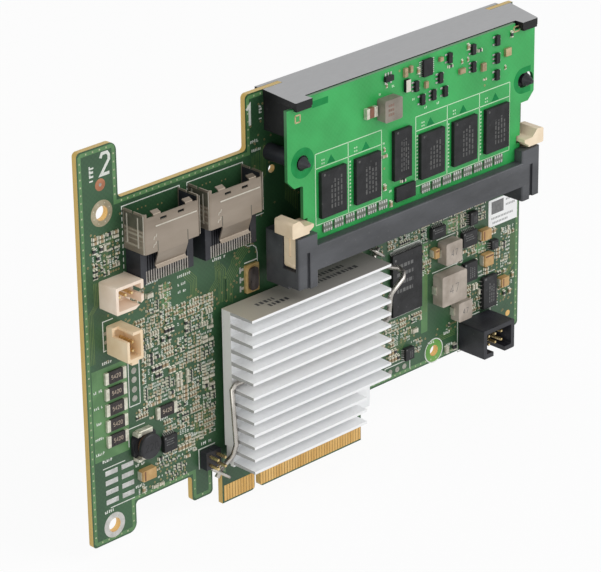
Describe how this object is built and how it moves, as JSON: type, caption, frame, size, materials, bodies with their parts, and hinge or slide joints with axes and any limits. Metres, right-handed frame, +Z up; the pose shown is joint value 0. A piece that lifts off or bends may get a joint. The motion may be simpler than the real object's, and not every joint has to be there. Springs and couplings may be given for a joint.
{
  "type": "raid controller card",
  "caption": "Full-height expansion card with an edge connector, finned heatsink, two caged cable ports and an upright memory module held in a latched socket.",
  "frame": {"origin": "centre of the key notch at the lower edge of the contact fingers, half way through the board thickness", "axes": "+X along the card from the bracket edge to the free edge, +Z up away from the slot, -Y towards the component side"},
  "size_m": [0.1598, 0.0181, 0.1111],
  "materials": {
    "board_laminate": "solder mask over glass laminate",
    "module_laminate": "solder mask over glass laminate",
    "gold_plate": "gold plate over copper",
    "tin_plate": "matt tin plate",
    "chip_black": "moulded epoxy",
    "pad_grey": "soft filled silicone",
    "fin_aluminium": "extruded, clear finish",
    "spring_steel": "drawn wire",
    "cage_steel": "nickel plated sheet",
    "black_plastic": "moulded, fine grain",
    "bar_plastic": "moulded, fine grain",
    "cream_plastic": "moulded, semi matt",
    "pink_plastic": "moulded, semi matt",
    "ceramic_dark": "fired, printed top",
    "ferrite_dark": "pressed ferrite",
    "crystal_frame": "plated frame",
    "crystal_can": "drawn can",
    "tantalum_orange": "moulded epoxy",
    "label_paper": "coated label stock"
  },
  "bodies": {
    "card": {"battery_header": "pink_plastic", "battery_pins": "tin_plate", "box_header": "black_plastic", "box_header_pins": "gold_plate", "cable_header": "cream_plastic", "cable_pins": "tin_plate", "choke_terminals": "tin_plate", "clip_anchors": "spring_steel", "controller_chip": "chip_black", "crystal_base": "crystal_frame", "crystal_can": "crystal_can", "dimm_socket": "black_plastic", "drum_coil": "ferrite_dark", "edge_contacts": "gold_plate", "flash_chip": "chip_black", "flash_leads": "tin_plate", "heatsink": "fin_aluminium", "heatsink_clip": "spring_steel", "label": "label_paper", "logic_chips": "chip_black", "main_board": "board_laminate", "module_board": "module_laminate", "module_buffer": "chip_black", "module_choke": "ferrite_dark", "module_logic": "chip_black", "module_memory": "chip_black", "module_resistor_packs": "ceramic_dark", "module_small_parts": "chip_black", "pin_strip": "black_plastic", "pin_strip_pins": "gold_plate", "port_cage_a": "cage_steel", "port_cage_b": "cage_steel", "port_contacts_a": "gold_plate", "port_contacts_b": "gold_plate", "port_housing_a": "black_plastic", "port_housing_b": "black_plastic", "power_chokes": "ferrite_dark", "retention_bar": "bar_plastic", "sense_caps": "tin_plate", "sense_resistors": "ceramic_dark", "socket_contacts": "tin_plate", "standoff_pegs": "black_plastic", "tantalum_capacitors": "tantalum_orange", "tantalum_caps": "tin_plate", "thermal_pad": "pad_grey"},
    "left_latch": {"latch_left": "cream_plastic"},
    "right_latch": {"latch_right": "cream_plastic"}
  },
  "joints": [
    {"name": "left_latch_hinge", "type": "hinge", "parent": "card", "child": "left_latch", "pos_m": [0.00325, -0.0124, 0.0673], "axis": [0, -1, 0], "range_deg": [0, 32]},
    {"name": "right_latch_hinge", "type": "hinge", "parent": "card", "child": "right_latch", "pos_m": [0.09195, -0.0124, 0.0673], "axis": [0, 1, 0], "range_deg": [0, 32]}
  ]
}
